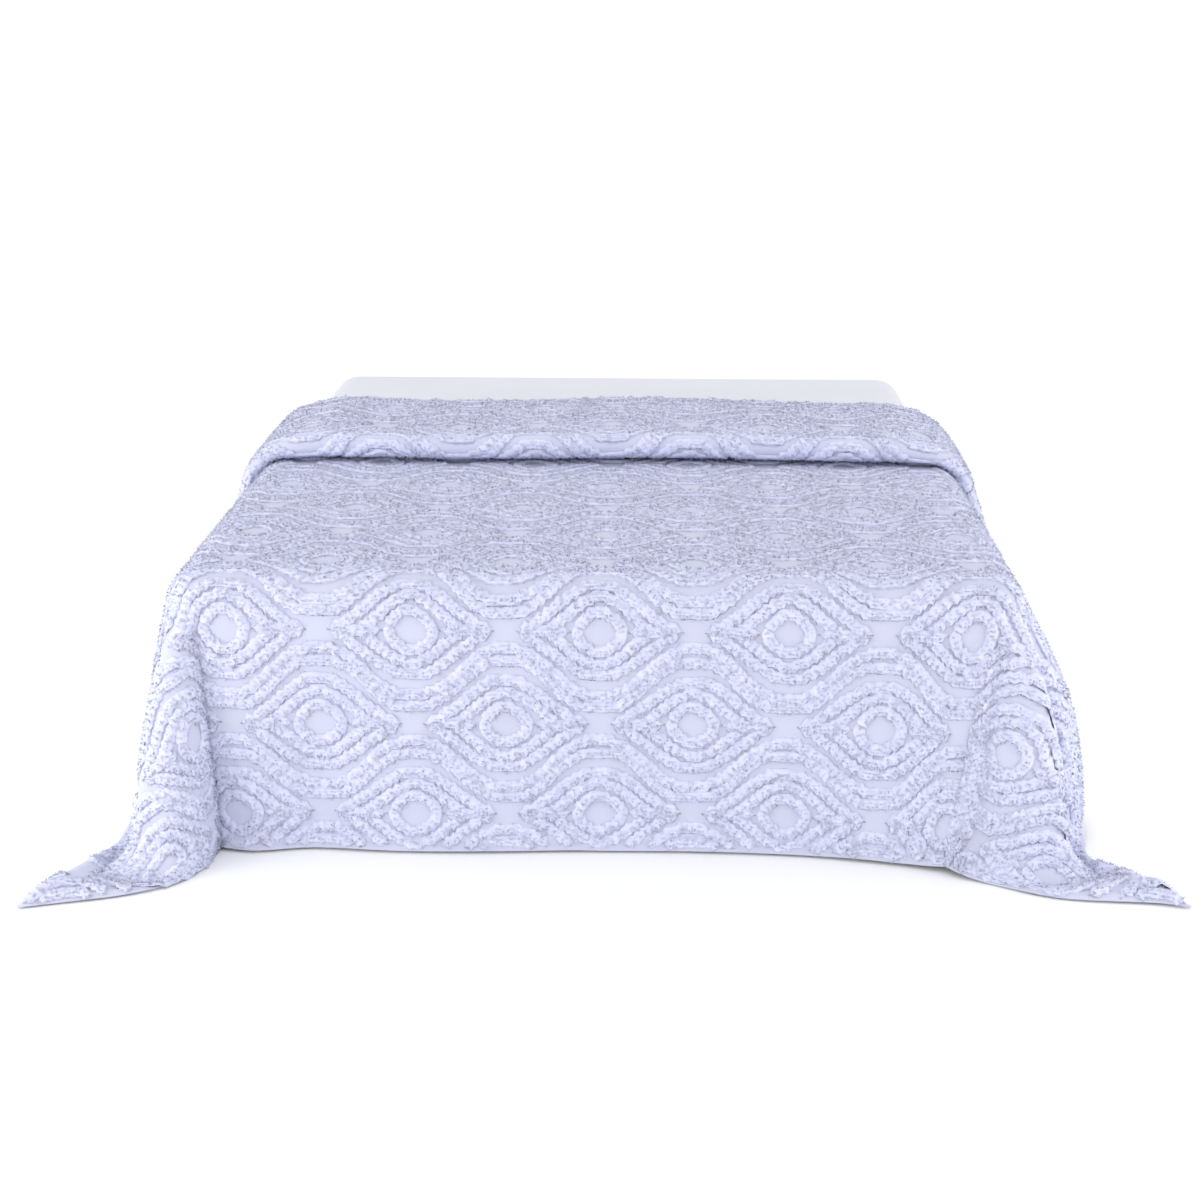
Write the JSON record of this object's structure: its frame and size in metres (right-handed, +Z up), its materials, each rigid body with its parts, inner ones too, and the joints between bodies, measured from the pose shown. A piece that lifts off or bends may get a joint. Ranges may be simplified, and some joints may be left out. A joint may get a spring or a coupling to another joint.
{
  "type": "bedspread on a bed",
  "caption": "White tufted cotton bedspread on a plain double bed, falling to the floor at the foot and sides, with a trailing tail at each foot corner and a fold across the bed.",
  "frame": {"origin": "middle of the bed base's underside, on the floor", "axes": "+Z up, the foot of the bed faces -Y and its head +Y, X runs across the bed"},
  "size_m": [2.1352, 2.2043, 0.6142],
  "materials": {
    "tufted_cotton": "matt white cotton with tufted loops cut to pile",
    "mattress_cover": "plain white cotton",
    "base_cover": "plain pale grey cloth"
  },
  "bodies": {
    "root": {"bedspread": "tufted_cotton", "mattress": "mattress_cover", "bed_base": "base_cover"}
  },
  "joints": []
}
